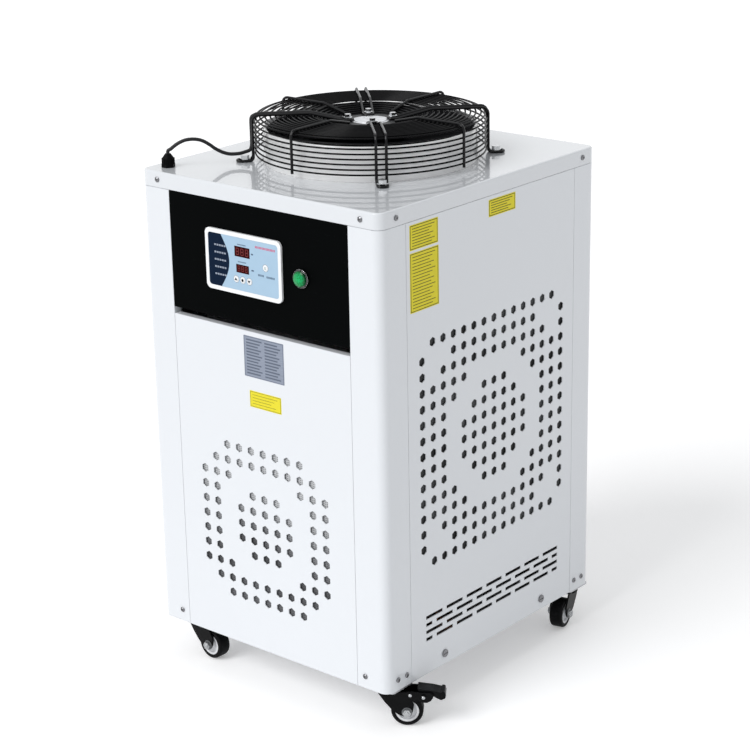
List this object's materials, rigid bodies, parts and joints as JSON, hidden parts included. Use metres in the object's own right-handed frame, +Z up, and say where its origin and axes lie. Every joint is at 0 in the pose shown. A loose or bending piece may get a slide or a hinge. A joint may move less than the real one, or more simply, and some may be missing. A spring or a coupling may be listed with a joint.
{
  "type": "industrial water chiller",
  "caption": "Upright recirculating water chiller: sheet-metal cabinet on castors with honeycomb air vents, control fascia, top axial fan under a wire guard and rear water connections.",
  "frame": {"origin": "centre of the footprint box, on the floor under the castor wheels", "axes": "+Z up, -Y out of the front with the controls, +X out of the right side as seen from the front"},
  "size_m": [0.5614, 0.5885, 0.8949],
  "materials": {
    "white_paint": "smooth gloss powder coat",
    "galvanised_sheet": "plain sheet",
    "black_paint": "gloss",
    "filter_mesh": "woven nylon mesh",
    "white_plastic": "satin",
    "blue_overlay": "printed film, satin",
    "red_window": "tinted",
    "black_plastic": "fine texture",
    "green_lens": "translucent gloss",
    "white_collar": "gloss",
    "black_wire": "gloss coat",
    "motor_aluminium": "cast",
    "black_enamel": "satin",
    "chrome_fastener": "bright",
    "cable_rubber": "smooth sheath",
    "fin_aluminium": "finned",
    "stainless": "pressed",
    "ivory_plastic": "moulded",
    "pump_blue": "enamel",
    "copper": "drawn copper",
    "grey_plastic": "moulded",
    "brass_fitting": "machined",
    "clear_gauge": "translucent",
    "zinc_plate": "zinc plated",
    "black_steel": "gloss",
    "grey_hub": "moulded",
    "tyre_rubber": "smooth tread"
  },
  "bodies": {
    "cabinet": {"base_tray": "galvanised_sheet", "front_left_post": "white_paint", "front_right_post": "white_paint", "rear_posts": "white_paint", "top_cover": "white_paint", "control_fascia": "black_paint", "lower_front_panel": "white_paint", "right_side_panel": "white_paint", "left_side_panel": "white_paint", "rear_panel": "white_paint", "dust_filters": "filter_mesh", "controller_housing": "white_plastic", "controller_faceplate": "blue_overlay", "controller_display": "red_window", "button_body": "black_plastic", "fan_shroud": "white_collar", "fan_guard": "black_wire", "guard_arms": "black_wire", "motor_stator": "motor_aluminium", "guard_bolts": "chrome_fastener", "cable_gland": "black_plastic", "fan_cable": "cable_rubber", "condenser_coil": "fin_aluminium", "compressor": "black_enamel", "water_tank": "ivory_plastic", "evaporator": "stainless", "water_pump": "pump_blue", "filter_drier": "copper", "pipework": "copper", "electrical_box": "grey_plastic", "water_inlet": "brass_fitting", "water_outlet": "brass_fitting", "water_drain": "brass_fitting", "level_gauge": "clear_gauge", "power_inlet": "black_plastic", "panel_screws": "chrome_fastener", "caster_plates": "zinc_plate", "caster_bolts": "chrome_fastener"},
    "fan": {"motor_rotor": "black_enamel", "fan_blades": "black_enamel"},
    "button": {"power_button": "green_lens"},
    "key_1": {"key_left": "white_plastic"},
    "key_2": {"key_middle": "white_plastic"},
    "key_3": {"key_right": "white_plastic"},
    "key_4": {"key_power": "white_plastic"},
    "cap": {"filler_cap": "black_plastic"},
    "swivel_fr": {"caster_fork_fr": "black_steel"},
    "wheel_fr": {"wheel_hub_fr": "grey_hub", "wheel_tyre_fr": "tyre_rubber"},
    "swivel_fl": {"caster_fork_fl": "black_steel"},
    "wheel_fl": {"wheel_hub_fl": "grey_hub", "wheel_tyre_fl": "tyre_rubber"},
    "swivel_rr": {"caster_fork_rr": "black_steel"},
    "wheel_rr": {"wheel_hub_rr": "grey_hub", "wheel_tyre_rr": "tyre_rubber"},
    "swivel_rl": {"caster_fork_rl": "black_steel"},
    "wheel_rl": {"wheel_hub_rl": "grey_hub", "wheel_tyre_rl": "tyre_rubber"},
    "pedal_fr": {"brake_pedal_fr": "black_steel"},
    "pedal_rl": {"brake_pedal_rl": "black_steel"}
  },
  "joints": [
    {"name": "fan_spin", "type": "hinge", "parent": "cabinet", "child": "fan", "pos_m": [-0.00791, -0.01861, 0.848], "axis": [0, 0, 1], "continuous": true},
    {"name": "button_press", "type": "slide", "parent": "cabinet", "child": "button", "axis": [0, 1, 0], "range_m": [0, 0.003], "stiffness_N_per_m": 200, "springref_m": -0.002},
    {"name": "key_1_press", "type": "slide", "parent": "cabinet", "child": "key_1", "axis": [0, 1, 0], "range_m": [0, 0.0008], "stiffness_N_per_m": 200, "springref_m": -0.001},
    {"name": "key_2_press", "type": "slide", "parent": "cabinet", "child": "key_2", "axis": [0, 1, 0], "range_m": [0, 0.0008], "stiffness_N_per_m": 200, "springref_m": -0.001},
    {"name": "key_3_press", "type": "slide", "parent": "cabinet", "child": "key_3", "axis": [0, 1, 0], "range_m": [0, 0.0008], "stiffness_N_per_m": 200, "springref_m": -0.001},
    {"name": "key_4_press", "type": "slide", "parent": "cabinet", "child": "key_4", "axis": [0, 1, 0], "range_m": [0, 0.0008], "stiffness_N_per_m": 200, "springref_m": -0.001},
    {"name": "cap_turn", "type": "hinge", "parent": "cabinet", "child": "cap", "pos_m": [-0.07791, 0.27339, 0.474], "axis": [0, 0.7071, 0.7071], "range_deg": [0, 120]},
    {"name": "swivel_turn_fr", "type": "hinge", "parent": "cabinet", "child": "swivel_fr", "pos_m": [0.20409, -0.24661, 0.06], "axis": [0, 0, 1], "continuous": true},
    {"name": "wheel_spin_fr", "type": "hinge", "parent": "swivel_fr", "child": "wheel_fr", "pos_m": [0.22512, -0.23132, 0.025], "axis": [-0.5878, 0.809, 0], "continuous": true},
    {"name": "swivel_turn_fl", "type": "hinge", "parent": "cabinet", "child": "swivel_fl", "pos_m": [-0.19591, -0.24661, 0.06], "axis": [0, 0, 1], "continuous": true},
    {"name": "wheel_spin_fl", "type": "hinge", "parent": "swivel_fl", "child": "wheel_fl", "pos_m": [-0.16993, -0.24751, 0.025], "axis": [0.0349, 0.9994, 0], "continuous": true},
    {"name": "swivel_turn_rr", "type": "hinge", "parent": "cabinet", "child": "swivel_rr", "pos_m": [0.20409, 0.21939, 0.06], "axis": [0, 0, 1], "continuous": true},
    {"name": "wheel_spin_rr", "type": "hinge", "parent": "swivel_rr", "child": "wheel_rr", "pos_m": [0.21038, 0.19417, 0.025], "axis": [0.9703, 0.2419, 0], "continuous": true},
    {"name": "swivel_turn_rl", "type": "hinge", "parent": "cabinet", "child": "swivel_rl", "pos_m": [-0.19591, 0.21939, 0.06], "axis": [0, 0, 1], "continuous": true},
    {"name": "wheel_spin_rl", "type": "hinge", "parent": "swivel_rl", "child": "wheel_rl", "pos_m": [-0.22034, 0.2105, 0.025], "axis": [0.342, -0.9397, 0], "continuous": true},
    {"name": "brake_press_fr", "type": "hinge", "parent": "swivel_fr", "child": "pedal_fr", "pos_m": [0.24567, -0.21639, 0.051], "axis": [-0.5878, 0.809, 0], "range_deg": [0, 14]},
    {"name": "brake_press_rl", "type": "hinge", "parent": "swivel_rl", "child": "pedal_rl", "pos_m": [-0.24421, 0.20181, 0.051], "axis": [0.342, -0.9397, 0], "range_deg": [0, 14]}
  ]
}
